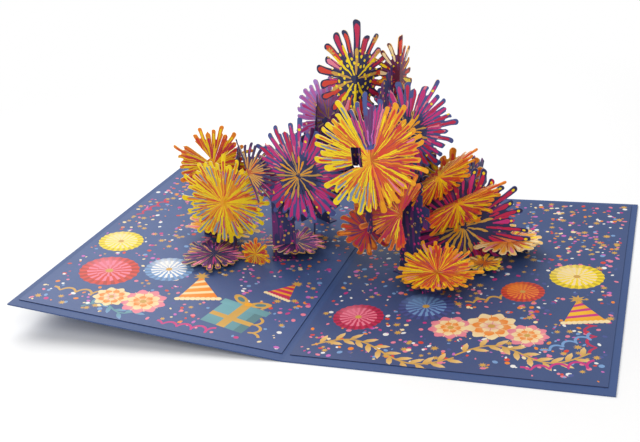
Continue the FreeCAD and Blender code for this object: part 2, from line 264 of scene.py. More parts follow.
class Shader:
    """Writes a material's node tree."""

    def __init__(self, name: str) -> None:
        """Makes an empty material with an output and a principled shader."""
        self.material = bpy.data.materials.new(name)
        self.material.use_nodes = True
        self.tree = self.material.node_tree
        self.tree.nodes.clear()
        self.output = self.tree.nodes.new("ShaderNodeOutputMaterial")
        self.surface = self.tree.nodes.new("ShaderNodeBsdfPrincipled")
        self.tree.links.new(self.surface.outputs[0], self.output.inputs["Surface"])

    def node(self, kind: str, settings: dict, *values: "Wire | float | Color | None",
             output: int | str = 0) -> Wire:
        """Adds a node, sets it and feeds its inputs in order.

        Args:
            kind: the node's type.
            settings: attributes of the node, set before its inputs.
            values: links or constants of its inputs in order, None to leave one.
            output: which output is returned.

        Returns:
            The chosen output.
        """
        node = self.tree.nodes.new(kind)
        for key, value in settings.items():
            setattr(node, key, value)
        sockets = [socket for socket in node.inputs if socket.enabled]
        for socket, value in zip(sockets, values):
            if isinstance(value, Wire):
                self.tree.links.new(value.socket, socket)
            elif value is not None:
                whole = socket.type == "RGBA"
                socket.default_value = (*value, 1.0) if whole and len(value) == 3 else value
        return Wire(self, node.outputs[output])

    def mix(self, share: "Wire | float", low: "Wire | Color", high: "Wire | Color") -> Wire:
        """Colour between two, by a share of the second."""
        return self.node("ShaderNodeMix", {"data_type": "RGBA"}, share, low, high, output=2)

    def noise(self, vector: Wire, scale: float, detail: float = 2.0) -> Wire:
        """Value of a noise texture, about 0 to 1."""
        return self.node("ShaderNodeTexNoise", {}, vector, scale, detail)

    def place(self) -> Wire:
        """Object coordinates."""
        return self.node("ShaderNodeTexCoord", {}, output="Object")

    def chances(self, number: Wire) -> list[Wire]:
        """Three random numbers for each whole number."""
        color = self.node("ShaderNodeTexWhiteNoise", {"noise_dimensions": "1D"}, number,
                          output="Color")
        return self.split(color, "ShaderNodeSeparateColor")

    def split(self, value: Wire, kind: str = "ShaderNodeSeparateXYZ") -> list[Wire]:
        """The three parts of a vector or colour."""
        first = self.node(kind, {}, value)
        return [Wire(self, socket) for socket in first.socket.node.outputs]

    def pick(self, chance: Wire, colors: Sequence[Color]) -> Wire:
        """One of the colours for a random number, in equal shares."""
        ramp = self.tree.nodes.new("ShaderNodeValToRGB")
        ramp.color_ramp.interpolation = "CONSTANT"
        stops = ramp.color_ramp.elements
        while len(stops) < len(colors):
            stops.new(1.0)
        for index, color in enumerate(colors):
            stops[index].position = index / len(colors)
            stops[index].color = (*color, 1.0)
        self.tree.links.new(chance.socket, ramp.inputs[0])
        return Wire(self, ramp.outputs[0])

    def finish(self, color: "Wire | Color", roughness: "Wire | float", height: Wire | None = None,
               strength: float = 0.2, distance: float = 0.0002) -> bpy.types.Material:
        """Feeds the principled shader and returns the material.

        Args:
            color: base colour.
            roughness: roughness.
            height: relief for the bump, if any.
            strength: strength of the bump.
            distance: height of the bump in metres.

        Returns:
            The finished material.
        """
        for name, value in (("Base Color", color), ("Roughness", roughness)):
            socket = self.surface.inputs[name]
            if isinstance(value, Wire):
                self.tree.links.new(value.socket, socket)
            else:
                socket.default_value = (*value, 1.0) if name == "Base Color" else value
        if height is not None:
            bump = self.tree.nodes.new("ShaderNodeBump")
            bump.inputs["Strength"].default_value = strength
            bump.inputs["Distance"].default_value = distance
            self.tree.links.new(height.socket, bump.inputs["Height"])
            self.tree.links.new(bump.outputs[0], self.surface.inputs["Normal"])
        return self.material


@dataclass(frozen=True)
class PaperFinish:
    """Uncoated or satin paper: mottled colour over fine fibres."""

    name: str
    color: Color
    roughness: float = 0.62
    mottle: float = 0.12
    fibre: float = FIBRES

    def build(self) -> bpy.types.Material:
        """Base colour times a slow mottle, with a bump of fine fibres."""
        shader = Shader(self.name)
        place = shader.place()
        mottle = shader.noise(place, 60.0, 3.0)
        dark = tuple(channel * (1 - self.mottle) for channel in self.color)
        light = tuple(min(1.0, channel * (1 + self.mottle)) for channel in self.color)
        fibres = shader.noise(place, self.fibre, 4.0)
        color = shader.mix(mottle, dark, light)
        rough = self.roughness - 0.08 + 0.16 * fibres
        return shader.finish(color, rough, fibres, 0.25, FIBRE_HEIGHT)


@dataclass(frozen=True)
class StarryFinish:
    """Navy paper of the hidden ribs, printed with streaks and with dots in gold and pink."""

    name: str
    ground: Color
    streak: Color
    dots: Color
    other: Color

    def build(self) -> bpy.types.Material:
        """Dots where a Voronoi cell's distance is small, over upright streaks of noise."""
        shader = Shader(self.name)
        place = shader.place()
        cells = self._cells(shader, place, "Distance")
        pick = self._cells(shader, place, "Color")
        tone = shader.node("ShaderNodeSeparateColor", {}, pick)
        ink = shader.mix(tone > 0.5, self.dots, self.other)
        ground = shader.mix(shader.noise(place, 90.0), self.ground,
                            tuple(channel * 1.7 for channel in self.ground))
        stretched = shader.node("ShaderNodeVectorMath", {"operation": "MULTIPLY"}, place,
                                (1.0, 1.0, 0.12))
        streaks = shader.noise(stretched, 520.0, 1.0)
        ground = shader.mix(streaks.step(0.54, 0.57), ground, self.streak)
        color = shader.mix(cells.step(0.30, 0.24), ground, ink)
        fibres = shader.noise(place, FIBRES, 4.0)
        return shader.finish(color, 0.5 + 0.15 * fibres, fibres, 0.25, FIBRE_HEIGHT)

    @staticmethod
    def _cells(shader: Shader, place: Wire, output: str) -> Wire:
        """One output of the Voronoi pattern at 2.3 mm a cell."""
        return shader.node("ShaderNodeTexVoronoi", {}, place, 430.0, output=output)


@dataclass(frozen=True)
class Strokes:
    """One ring of brush strokes that run outwards, in shares of the radius.

    count is 0 for one stroke on each cut ray, else the number round the whole burst.
    """

    count: int
    start: tuple[float, float]
    end: tuple[float, float]
    width: float
    colors: Sequence[Ink]
    share: float = 1.0


@dataclass(frozen=True)
class Dots:
    """Rings of printed dots or eight-pointed stars, in shares of the radius.

    count is 0 for one dot on each cut ray, else the number round the whole burst.
    """

    count: int
    rings: Sequence[float]
    size: float
    color: Ink
    star: bool = False
    share: float = 0.7


@dataclass(frozen=True)
class Overprint:
    """Second firework over the sector about the top of the middle line, reach turns a side."""

    reach: float
    ground: Ink
    strokes: Sequence[Strokes]


@dataclass(frozen=True)
class BurstPrint:
    """Firework print of brush strokes, dots and stars round the middle of a burst.

    The map "Rays" holds a whole number for each cut ray plus 0.5 at its middle line, and
    the share of that ray's length. The map "Sheet" holds the flat place over the radius.
    """

    name: str
    ground: Ink
    heart: Ink
    edge: Ink
    strokes: Sequence[Strokes]
    dots: Sequence[Dots] = ()
    heart_reach: float = 0.3
    gap: Ink | None = None
    above: Overprint | None = None

    def build(self) -> bpy.types.Material:
        """Ground, heart and gaps, then the strokes and dots in order, over fine fibres."""
        shader = Shader(self.name)
        place = shader.place()
        flat = shader.node("ShaderNodeUVMap", {"uv_map": "Sheet"})
        wobble = shader.node("ShaderNodeTexNoise", {}, place, 330.0, 2.0, output="Color")
        wobble = shader.node("ShaderNodeVectorMath", {"operation": "MULTIPLY_ADD"}, wobble,
                             (0.05, 0.05, 0.0), (-0.025, -0.025, 0.0))
        flat = shader.node("ShaderNodeVectorMath", {"operation": "ADD"}, flat, wobble)
        x, y = shader.split(flat)[:2]
        radius = (x * x + y * y).root()
        turn = x.angle(y) / (2 * math.pi)
        number, along = shader.split(shader.node("ShaderNodeUVMap", {"uv_map": "Rays"}))[:2]
        across = ((number.fract() - 0.5) * 2.0).absolute()
        grain = shader.noise(place, FIBRES, 3.0)
        far = (radius + 0.3 * (grain - 0.5)).step(self.heart_reach - 0.08,
                                                  self.heart_reach + 0.12)
        ground = self.ground.value
        color = shader.mix(far, self.heart.value, ground)
        mottle = shader.noise(place, 220.0, 3.0)
        tint = tuple(channel * 0.78 for channel in ground)
        color = shader.mix(mottle.step(0.45, 0.75) * 0.5, color, tint)
        if self.gap is not None:
            valley = across.step(0.72, 0.9) * radius.step(0.3, 0.42) * (radius < 0.74)
            color = shader.mix(valley, color, self.gap.value)
        line = tuple(channel * 0.35 for channel in (self.gap or self.ground).value)
        for seed, ring in enumerate(self.strokes):
            color = self._stroke(shader, color, ring, seed * 13.7, turn, radius, number, along,
                                 line)
        rim = across.step(0.74, 0.84) * radius.step(0.6, 0.72)
        color = shader.mix(rim, color, self.edge.value)
        if self.above is not None:
            inside = turn.absolute() < self.above.reach
            leaves = shader.mix(radius > LEAF_START, color, self.above.ground.value)
            for seed, ring in enumerate(self.above.strokes):
                leaves = self._stroke(shader, leaves, ring, seed * 9.1, turn, radius, number,
                                      along, line)
            color = shader.mix(inside, color, leaves)
        for seed, ring in enumerate(self.dots):
            color = self._dots(shader, color, ring, seed * 7.3, turn, radius, number, along)
        fibres = shader.noise(place, FIBRES, 4.0)
        return shader.finish(color, 0.5 + 0.12 * fibres, fibres, 0.25, FIBRE_HEIGHT)

    @staticmethod
    def _stroke(shader: Shader, color: Wire, ring: Strokes, seed: float, turn: Wire,
                radius: Wire, number: Wire, along: Wire, line: Color) -> Wire:
        """Paints one ring of strokes.

        A stroke begins and ends at random shares of the radius. Its half width grows from
        a third to the whole and closes as the square root of what is left of it.

        Args:
            shader: the material.
            color: colour below the strokes.
            ring: the ring.
            seed: number that sets this ring's draw apart.
            turn: turns from the middle line.
            radius: share of the radius.
            number: cut ray and place across it.
            along: share of the cut ray's length.
            line: colour of the thin line round each stroke.

        Returns:
            The colour with the strokes.
        """
        if ring.count:
            cell = turn * float(ring.count) + 0.5
            place, pitch = radius, math.pi / ring.count
            identity = cell.floor().wrap(float(ring.count))
        else:
            cell, place, pitch = number, along, FINGER_HALF
            identity = cell.floor()
        first, second, third = shader.chances(identity * 1.37 + seed)
        start = first * (ring.start[1] - ring.start[0]) + ring.start[0]
        end = second * (ring.end[1] - ring.end[0]) + ring.end[0]
        share = (place - start) / (end - start)
        side = (cell.fract() - 0.5).absolute() * 2.0 * pitch
        if ring.count:
            side = side * place
        half = (share * 0.7 + 0.35).least(((1.0 - share) * 5.0).root()) * ring.width
        within = (share > 0.0) * (share < 1.0)
        if ring.share < 1.0:
            within = within * ((first * 7.0 + third * 5.0).fract() < ring.share)
        color = shader.mix((side < half + STROKE_LINE) * within * LINE_STRENGTH, color, line)
        inks = [ink.value for ink in ring.colors]
        return shader.mix((side < half) * within, color, shader.pick(third, inks))

    @staticmethod
    def _dots(shader: Shader, color: Wire, ring: Dots, seed: float, turn: Wire,
              radius: Wire, number: Wire, along: Wire) -> Wire:
        """Paints rings of dots; a star's reach swings with the angle round its middle."""
        for index, distance in enumerate(ring.rings):
            if ring.count:
                cell = turn * float(ring.count) + 0.5 * (index % 2)
                identity = cell.floor().wrap(float(ring.count))
            else:
                cell, identity = number, number.floor()
            first, second, _ = shader.chances(identity + seed + 3.1 * index)
            if ring.count:
                side = (cell.fract() - 0.5) * (2 * math.pi / ring.count) * radius
                away = radius - (distance + 0.07 * (first - 0.5))
            else:
                side = (cell.fract() - 0.5) * (2 * FINGER_HALF)
                away = along - distance
            reach = (side * side + away * away).root()
            size = ring.size
            if ring.star:
                swing = (side.angle(away) * 4.0).cosine().absolute()
                size = swing * (0.6 * ring.size) + 0.4 * ring.size
            mask = (reach < size) * (second < ring.share)
            color = shader.mix(mask, color, ring.color.value)
        return color


@dataclass(frozen=True)
class PagePrint:
    """Print of an insert, from the colour attribute of its triangles."""

    name: str

    def build(self) -> bpy.types.Material:
        """Attribute colour with a watercolour mottle and a fibre bump."""
        shader = Shader(self.name)
        place = shader.place()
        ink = shader.node("ShaderNodeAttribute", {"attribute_name": "Print"})
        slow = shader.noise(place, 55.0, 4.0)
        washed = shader.node("ShaderNodeMix", {"data_type": "RGBA", "blend_type": "MULTIPLY"},
                             1.0, ink, shader.mix(slow, (0.78, 0.78, 0.8), (1.0, 1.0, 1.0)),
                             output=2)
        fibres = shader.noise(place, 800.0, 4.0)
        return shader.finish(washed, 0.42 + 0.12 * fibres, fibres, 0.3, FIBRE_HEIGHT)


class Page:
    """One opened page: local x from the spine, y along it, h above its insert."""

    def __init__(self, lift: float) -> None:
        """Keeps the turn about the spine, by lift degrees."""
        angle = math.radians(lift)
        cosine, sine = math.cos(angle), math.sin(angle)
        self.turn = np.array([[cosine, 0.0, sine], [0.0, 1.0, 0.0], [-sine, 0.0, cosine]])
        self.face = COVER_CARD + INSERT_CARD

    def points(self, local: np.ndarray) -> np.ndarray:
        """Card coordinates of local ones: h raised by the paper, then turned."""
        return (np.atleast_2d(local) + [0.0, 0.0, self.face]) @ self.turn.T

    def direction(self, local: np.ndarray) -> np.ndarray:
        """Card direction of a local one."""
        return self.turn @ local


LEFT = Page(LEFT_PAGE_LIFT)
RIGHT = Page(0.0)


@dataclass
class Burst:
    """A laser-cut burst of rays, flat or folded on its middle line.

    Sizes and angles are those of its solid: the centre on the page, the radius, the way it
    faces, leans and rolls, and how far each half is bent back.
    """

    name: str
    page: Page
    place: tuple[float, float, float]
    radius: float
    style: BurstPrint
    facing: float = 0.0
    lean: float = 0.0
    roll: float = 0.0
    fold: float = 0.0
    rays: int = 24
    core: float = 0.74
    straight_edge: float | None = None
    opening: tuple[float, float, float, float] | None = None
    # Print of the right half where it differs; a darker one there paints part of that half's shade
    right_style: BurstPrint | None = None
    curl: float = 0.09
    around: int = 7

    def flat_mesh(self) -> tuple[np.ndarray, np.ndarray, np.ndarray]:
        """Flat rays as one grid each: rows outwards, columns across.

        Neighbours share their edge up to the valley between them, at a drawn radius. Beyond
        it each side of a ray keeps a drawn half width, swells a little and closes in a half
        circle, and the ray leans sideways by a drawn part of the pitch.

        Returns:
            Points (across, along) in millimetres, faces, and the ray map of each corner.
        """
        draw = np.random.default_rng(int(self.radius * 10 + self.rays))
        pitch = 2 * math.pi / self.rays
        number = np.arange(self.rays)
        angle = number * pitch
        reach = self.radius * (1 - RAY_SPREAD * ((number * GOLDEN) % 1.0))
        reach = reach * KEPT_REACH
        reach[1:] *= 1 - RAY_SHORTER * draw.random(self.rays - 1)
        core = self.radius * self.core
        valley = core * draw.uniform(*VALLEY_DRAW, self.rays)
        inner = core * FREE_START
        half = RAY_FILL * pitch * core * draw.uniform(*WIDTH_DRAW, self.rays)
        common = np.concatenate([np.linspace(0, 0.75, 4, endpoint=False),
                                 np.linspace(0.75, 1.0, 7)]) * inner
        free = np.sin(np.linspace(0, 1, 9)[1:] * math.pi / 2)
        out = np.concatenate([common + np.zeros((self.rays, 1)),
                              inner + free * (reach[:, None] - inner)], 1)
        wedge = out * math.tan(pitch / 2)
        far = np.clip(reach[:, None] - out, 0.0, None)
        share = np.clip((out - inner) / (reach[:, None] - inner), 0, 1)
        tip = half[:, None] * (1 + TIP_SWELL * share)
        closed = np.sqrt(np.clip(2 * tip * far - far * far, 0, None))
        ray = np.where(far < tip, closed, tip)
        after = np.where(out <= valley[:, None], wedge, np.minimum(ray, wedge))
        before = np.where(out <= np.roll(valley, 1)[:, None], wedge, np.minimum(ray, wedge))
        across = np.linspace(-1.0, 1.0, self.around)
        side = np.where(across < 0, before[:, :, None], after[:, :, None]) * across
        length = out[:, :, None] * np.ones(self.around)
        lean = draw.uniform(*LEAN_DRAW, self.rays)[:, None] * pitch * share ** 1.5
        sine = np.sin(angle[:, None] + lean)[:, :, None]
        cosine = np.cos(angle[:, None] + lean)[:, :, None]
        points = np.stack([length * sine + side * cosine, length * cosine - side * sine], -1)
        rows, columns = out.shape[1], self.around
        index = np.arange(self.rays * rows * columns).reshape(self.rays, rows, columns)
        faces = np.stack([index[:, :-1, :-1], index[:, :-1, 1:], index[:, 1:, 1:],
                          index[:, 1:, :-1]], -1).reshape(-1, 4)
        ray_map = number[:, None, None] + 0.5 + 0.49 * across[None, None, :]
        ray_map = ray_map * np.ones((self.rays, rows, columns))
        span = (out / reach[:, None])[:, :, None] * np.ones(columns)
        maps = np.stack([ray_map, span], -1).reshape(-1, 2)
        return points.reshape(-1, 2), faces, maps[faces.reshape(-1)]

    def axes(self) -> tuple[np.ndarray, np.ndarray, np.ndarray]:
        """Across, crease and normal directions, from the facing, lean and roll."""
        turn, tip, spin = (math.radians(a) for a in (self.facing, self.lean, self.roll))
        normal = np.array([math.sin(turn) * math.cos(tip), -math.cos(turn) * math.cos(tip),
                           math.sin(tip)])
        right = np.array([math.cos(turn), math.sin(turn), 0.0])
        up = np.cross(normal, right)
        crease = up * math.cos(spin) + right * math.sin(spin)
        across = right * math.cos(spin) - up * math.sin(spin)
        return tuple(self.page.direction(v) for v in (across, crease, normal))

    def folded(self, flat: np.ndarray) -> np.ndarray:
        """Places flat points: each half turns about the crease, and the rays curl a little.

        Args:
            flat: points (across, along) in millimetres.

        Returns:
            Points in the card, in millimetres.
        """
        across, crease, normal = self.axes()
        bend = math.radians(self.fold)
        s, t = flat[:, 0], flat[:, 1]
        radius = np.hypot(s, t) / self.radius
        pitch = 2 * math.pi / self.rays
        ray = np.rint(np.arctan2(s, t) / pitch).astype(int) % self.rays
        draw = np.random.default_rng(int(self.radius * 7 + self.rays))
        curl = draw.uniform(*CURL_DRAW, self.rays)[ray] * np.clip(radius - 0.5, 0, 1) ** 2 * 3.0
        lift = self.curl * self.radius * curl * np.clip(np.abs(s) / 3.0, 0.0, 1.0)
        away = across[None, :] * math.cos(bend) * s[:, None]
        away = away - normal[None, :] * (math.sin(bend) * np.abs(s) - lift)[:, None]
        centre = self.page.points(np.array(self.place))
        return centre + away + crease[None, :] * t[:, None]

    def build(self, edge: bpy.types.Material, prints: dict[str, bpy.types.Material],
              slot: str) -> bpy.types.Object:
        """Makes the piece and gives it its paper thickness and print.

        Args:
            edge: material of the cut edge.
            prints: print materials by style name.
            slot: the record's material slot; not used.

        Returns:
            The finished object, riding on the card.
        """
        mesh = self._flat_sheet()
        sheet = bmesh.new()
        sheet.from_mesh(mesh)
        bmesh.ops.remove_doubles(sheet, verts=sheet.verts, dist=0.004)
        self._cut_flat(sheet)
        sheet.to_mesh(mesh)
        place_corners(mesh, self.folded(corners_of(mesh)[:, :2]))
        sheet.clear()
        sheet.from_mesh(mesh)
        self._trim_above_pages(sheet)
        bmesh.ops.recalc_face_normals(sheet, faces=sheet.faces)
        sheet.to_mesh(mesh)
        sheet.free()
        place_corners(mesh, corners_of(mesh) * MM)
        piece = bpy.data.objects.new("dressed_" + self.name, mesh)
        bpy.context.scene.collection.objects.link(piece)
        mesh.materials.append(prints[self.style.name])
        mesh.materials.append(edge)
        mesh.materials.append(prints[(self.right_style or self.style).name])
        paper = piece.modifiers.new("paper", "SOLIDIFY")
        paper.thickness = SHEET * MM
        paper.offset = 0.0
        paper.material_offset_rim = 1
        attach(piece, "root")
        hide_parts(self.name)
        LOG.info("burst %s: %d faces", self.name, len(mesh.polygons))
        return piece

    def _flat_sheet(self) -> bpy.types.Mesh:
        """The flat rays as a mesh with both maps; the right half has the third material."""
        points, faces, rays = self.flat_mesh()
        mesh = bpy.data.meshes.new(self.name)
        mesh.from_pydata(np.column_stack([points, np.zeros(len(points))]).tolist(), [],
                         faces.tolist())
        sheet = points[faces.reshape(-1)] / self.radius
        for name, places in (("Rays", rays), ("Sheet", sheet)):
            mesh.uv_layers.new(name=name).data.foreach_set("uv", places.reshape(-1))
        right = points[faces[:, 0], 0] + points[faces[:, 2], 0] > 0
        mesh.polygons.foreach_set("material_index", np.where(right, 2, 0).astype(np.int32))
        return mesh

    def _cut_flat(self, sheet: bmesh.types.BMesh) -> None:
        """Cuts the straight edge and the opening, while the sheet is still flat."""
        if self.straight_edge is not None:
            cut_plane(sheet, (0, -self.straight_edge, 0), (0, 1, 0), True)
        if self.opening is None:
            return
        left, right, bottom, top = self.opening
        for x in (left, right):
            cut_plane(sheet, (x, 0, 0), (1, 0, 0), False)
        for y in (bottom, top):
            cut_plane(sheet, (0, y, 0), (0, 1, 0), False)
        inside = []
        for face in sheet.faces:
            middle = face.calc_center_median()
            if left < middle.x < right and bottom < middle.y < top:
                inside.append(face)
        bmesh.ops.delete(sheet, geom=inside, context="FACES")
        self._keep_largest(sheet)

    @staticmethod
    def _keep_largest(sheet: bmesh.types.BMesh) -> None:
        """Deletes what a cut has freed: all joined parts but the one with most corners."""
        left, parts = set(sheet.verts), []
        while left:
            part, edge_of_part = set(), [left.pop()]
            while edge_of_part:
                corner = edge_of_part.pop()
                part.add(corner)
                near = {side.other_vert(corner) for side in corner.link_edges} - part
                edge_of_part.extend(near & left)
                left -= near
            parts.append(part)
        parts.sort(key=len)
        loose = [corner for part in parts[:-1] for corner in part]
        bmesh.ops.delete(sheet, geom=loose, context="VERTS")

    @staticmethod
    def _trim_above_pages(sheet: bmesh.types.BMesh) -> None:
        """Cuts away what would lie below either page."""
        for page in (LEFT, RIGHT):
            base = page.points(np.array([0.0, 0.0, FREE_EDGE_GAP]))[0]
            normal = page.direction(np.array([0.0, 0.0, 1.0]))
            cut_plane(sheet, base, normal, True)


def corners_of(mesh: bpy.types.Mesh) -> np.ndarray:
    """Places of a mesh's vertices, one row each."""
    places = np.empty(len(mesh.vertices) * 3, np.float32)
    mesh.vertices.foreach_get("co", places)
    return places.reshape(-1, 3).astype(float)


def place_corners(mesh: bpy.types.Mesh, places: np.ndarray) -> None:
    """Moves a mesh's vertices to these places."""
    mesh.vertices.foreach_set("co", places.reshape(-1))


def cut_plane(sheet: bmesh.types.BMesh, point: Sequence[float], normal: Sequence[float],
              clear: bool) -> None:
    """Cuts a mesh along a plane, and clears what lies behind it if asked."""
    everything = list(sheet.verts) + list(sheet.edges) + list(sheet.faces)
    bmesh.ops.bisect_plane(sheet, geom=everything, dist=0.0005, plane_co=Vector(point),
                           plane_no=Vector(normal), clear_inner=clear)


@dataclass(frozen=True)
class Shape:
    """A printed shape: an outline on the page, with a colour and a lighter spot."""

    outline: np.ndarray
    color: Color
    light: Color
    spot: tuple[float, float] = (0.0, 0.0)
    reach: float = 1.0


@dataclass
class PrintedInsert:
    """A page insert whose print is part of its top surface."""

    name: str
    page: Page
    side: int
    seed: int
    motifs: Callable[["PrintedInsert"], None]
    # Paper colour under the print; the left insert's lighter ground paints sheen on it
    ground: Color = Ink.SLATE.value
    shapes: list[Shape] = field(default_factory=list)

    def add(self, outline: np.ndarray, ink: Color, light: Color | None = None,
            spot: tuple[float, float] = (0.0, 0.0), reach: float = 1.0) -> None:
        """Adds a printed shape over those before it, turned anticlockwise.

        Args:
            outline: corners; one with next to no area is left out.
            ink: colour.
            light: colour at the lighter spot, if any.
            spot: the lighter spot.
            reach: how far the light colour fades.
        """
        ahead = np.roll(outline, -1, axis=0)
        area = 0.5 * float(np.sum(outline[:, 0] * ahead[:, 1] - ahead[:, 0] * outline[:, 1]))
        if abs(area) < LEAST_PRINT:
            return
        ordered = outline if area > 0 else outline[::-1].copy()
        self.shapes.append(Shape(ordered, ink, light or ink, spot, reach))

    def dot(self, x: float, y: float, size: float, ink: Color, sides: int = 8,
            squash: float = 1.0, turn: float = 0.0) -> None:
        """An ellipse: a circle of few sides, squashed and turned."""
        angle = np.linspace(0, 2 * math.pi, sides, endpoint=False)
        flat = np.stack([size * np.cos(angle), size * squash * np.sin(angle)], -1)
        self.add(self.placed(flat, x, y, turn), ink)

    def star(self, x: float, y: float, size: float, points: int = 8) -> None:
        """A gold star: the radius alternates between its tips and its valleys."""
        angle = np.linspace(0, 2 * math.pi, 2 * points, endpoint=False)
        radius = size * np.where(np.arange(2 * points) % 2 == 0, 1.0, 0.45)
        self.add(np.stack([x + radius * np.cos(angle), y + radius * np.sin(angle)], -1),
                 Ink.GOLD.value)

    def band(self, path: np.ndarray, width: np.ndarray | float, ink: Color) -> None:
        """A stroke: two triangles for each step of the path, as wide as given there."""
        step = np.gradient(path, axis=0)
        normal = np.stack([-step[:, 1], step[:, 0]], -1)
        normal /= np.linalg.norm(normal, axis=1)[:, None]
        half = np.broadcast_to(np.asarray(width) / 2, len(path))[:, None]
        left, right = path + normal * half, path - normal * half
        for index in range(len(path) - 1):
            self.add(np.array([right[index], right[index + 1], left[index + 1]]), ink)
            self.add(np.array([right[index], left[index + 1], left[index]]), ink)

    @staticmethod
    def placed(flat: np.ndarray, x: float, y: float, turn: float) -> np.ndarray:
        """An outline turned about its origin and moved to x, y."""
        spin = np.array([[math.cos(turn), -math.sin(turn)], [math.sin(turn), math.cos(turn)]])
        return flat @ spin.T + [x, y]

    def fan(self, x: float, y: float, size: float, ink: Color, light: Color) -> None:
        """A pleated paper fan: wedges in two shades round the middle, in three layers."""
        shade = tuple(channel * 0.66 for channel in ink)
        for reach, pleats, tones in ((1.0, 44, (ink, shade)), (0.74, 36, (light, ink)),
                                     (0.42, 24, (ink, light))):
            edge = np.linspace(0, 2 * math.pi, pleats + 1)
            rim = np.where(np.arange(pleats + 1) % 2 == 0, 1.0, 0.96) * size * reach
            ring = np.stack([rim * np.cos(edge), rim * np.sin(edge)], -1) + [x, y]
            spot = (x - 0.35 * size, y + 0.4 * size)
            for pleat in range(pleats):
                wedge = np.array([[x, y], ring[pleat], ring[pleat + 1]])
                self.add(wedge, tones[pleat % 2], light, spot, 0.8 * size)
        self.dot(x, y, size * 0.13, Ink.GOLD.value, 12)

    def cone(self, x: float, y: float, size: float, turn: float, ink: Color,
             band: Color) -> None:
        """A party hat: a triangle with slanting bands, a frill and a star on its tip."""
        def across(low: float, high: float, slant: float) -> np.ndarray:
            """Band of the triangle between two heights, raised at the right by slant."""
            return np.array([[-0.45 * (1 - low), low], [0.45 * (1 - low - slant), low + slant],
                             [0.45 * (1 - high - slant), high + slant],
                             [-0.45 * (1 - high), high]]) * size

        light = tuple(min(1.0, channel * 1.5) for channel in ink)
        body = np.array([[-0.45, 0.0], [0.45, 0.0], [0.0, 1.0]]) * size
        spot = self.placed(np.array([[-0.15, 0.4]]) * size, x, y, turn)[0]
        self.add(self.placed(body, x, y, turn), ink, light, tuple(spot), 0.6 * size)
        for low in (0.16, 0.42, 0.66):
            self.add(self.placed(across(low, low + 0.1, 0.08), x, y, turn), band)
        for step in np.linspace(-0.45, 0.45, 9):
            tuft = self.placed(np.array([[step, -0.02]]) * size, x, y, turn)[0]
            self.dot(tuft[0], tuft[1], size * 0.075, Ink.CREAM.value, 7)
        tip = self.placed(np.array([[0.0, 1.02]]) * size, x, y, turn)[0]
        self.star(tip[0], tip[1], size * 0.2)

    def gift(self, x: float, y: float, size: float, turn: float, ink: Color,
             ribbon: Color) -> None:
        """A wrapped box: body, lid, crossing ribbon and a bow of two loops."""
        def box(left: float, low: float, right: float, high: float) -> np.ndarray:
            """Rectangle of the box in shares of its size."""
            return self.placed(np.array([[left, low], [right, low], [right, high],
                                         [left, high]]) * size, x, y, turn)

        light = tuple(min(1.0, channel * 1.6) for channel in ink)
        shade = tuple(channel * 0.7 for channel in ink)
        spot = self.placed(np.array([[-0.3, 0.1]]) * size, x, y, turn)[0]
        self.add(box(-0.5, -0.5, 0.5, 0.28), ink, light, tuple(spot), 0.7 * size)
        self.add(box(0.3, -0.5, 0.5, 0.28), shade)
        self.add(box(-0.57, 0.28, 0.57, 0.48), ink, light, tuple(spot), 0.9 * size)
        self.add(box(-0.12, -0.5, 0.08, 0.48), ribbon)
        self.add(box(-0.5, -0.2, 0.5, -0.06), ribbon)
        for side in (-1, 1):
            middle = self.placed(np.array([[side * 0.24 - 0.02, 0.62]]) * size, x, y, turn)[0]
            for share, tone in ((1.0, ribbon), (0.5, shade)):
                self.dot(middle[0], middle[1], size * 0.24 * share, tone, 14, 0.5,
                         turn + side * 0.5)
        knot = self.placed(np.array([[-0.02, 0.52]]) * size, x, y, turn)[0]
        self.dot(knot[0], knot[1], size * 0.08, Ink.AMBER.value, 9)

    def garland(self, path: np.ndarray, leaf: float, ink: Color, light: Color) -> None:
        """A sprig: a thin stem with a pointed leaf on each side of every second step."""
        self.band(path, 0.9, ink)
        step = np.gradient(path, axis=0)
        outline = np.array([[0.0, 0.0], [0.35, 0.17], [0.7, 0.15], [1.0, 0.0], [0.7, -0.15],
                            [0.35, -0.17]])
        for index in range(1, len(path) - 1):
            turn = math.atan2(step[index, 1], step[index, 0]) + (0.75 if index % 2 else -0.75)
            x, y = path[index]
            tip = (x + leaf * math.cos(turn), y + leaf * math.sin(turn))
            self.add(self.placed(outline * leaf, x, y, turn), ink, light, tip, leaf)

    def streamer(self, x: float, y: float, length: float, turn: float, ink: Color) -> None:
        """A curled paper streamer: a circle rolled forwards, drawn flat, wide and narrow."""
        share = np.linspace(0, 1, 90)
        wave = share * 8 * math.pi
        grow = 0.4 + 0.6 * share
        flat = np.stack([share * length + 0.06 * length * grow * np.sin(wave),
                         0.1 * length * grow * np.cos(wave)], -1)
        width = 0.5 + 0.8 * np.abs(np.cos(wave / 2))
        self.band(self.placed(flat, x, y, turn), width, ink)

    def rosette(self, x: float, y: float, size: float, inks: Sequence[Color]) -> None:
        """A pleated paper rosette: a ring of petals, a ring of pleats and a button."""
        for layer, (reach, petals) in enumerate(((1.0, 9), (0.72, 8), (0.45, 6))):
            angle = np.linspace(0, 2 * math.pi, 6 * petals, endpoint=False)
            radius = size * reach * (1 + 0.11 * np.cos(petals * angle))
            ring = np.stack([x + radius * np.cos(angle), y + radius * np.sin(angle)], -1)
            self.add(ring, inks[layer], inks[layer + 1], (x, y), size * reach)
            for part in range(petals):
                way = 2 * math.pi * (part + 0.5) / petals
                line = np.linspace(0.35, 0.95, 4)[:, None] * size * reach
                path = line * [math.cos(way), math.sin(way)] + [x, y]
                self.band(path, 0.3, inks[layer + 1])
        self.dot(x, y, size * 0.16, Ink.GOLD.value, 12)

